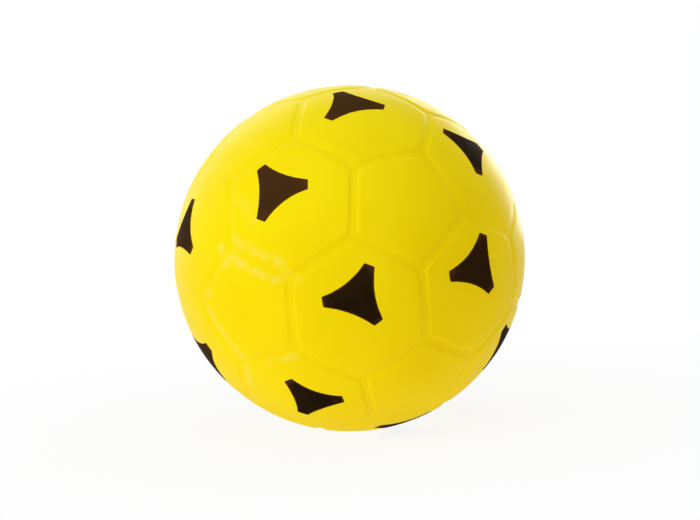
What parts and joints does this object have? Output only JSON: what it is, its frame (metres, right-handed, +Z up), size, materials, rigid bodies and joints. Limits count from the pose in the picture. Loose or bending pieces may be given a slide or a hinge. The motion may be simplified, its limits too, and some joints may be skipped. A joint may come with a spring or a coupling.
{
  "type": "foam soccer ball",
  "caption": "Soft foam soccer ball: a foam core in a yellow moulded skin with recessed panel seams and a dark three-armed mark printed on every hexagon.",
  "frame": {"origin": "middle of the flat contact patch that the ball rests on, straight under the ball's centre", "axes": "+Z up, -Y towards the viewer of the picture, +X to that viewer's right"},
  "size_m": [0.201, 0.2012, 0.1978],
  "materials": {
    "skin": "satin",
    "foam": "matte",
    "print": "satin"
  },
  "bodies": {
    "root": {"foam_core": "foam", "front_skin": "skin", "rear_skin": "skin", "mark_01": "print", "mark_02": "print", "mark_03": "print", "mark_04": "print", "mark_05": "print", "mark_06": "print", "mark_07": "print", "mark_08": "print", "mark_09": "print", "mark_10": "print", "mark_11": "print", "mark_12": "print", "mark_13": "print", "mark_14": "print", "mark_15": "print", "mark_16": "print", "mark_17": "print", "mark_18": "print", "mark_19": "print", "mark_20": "print"}
  },
  "joints": []
}
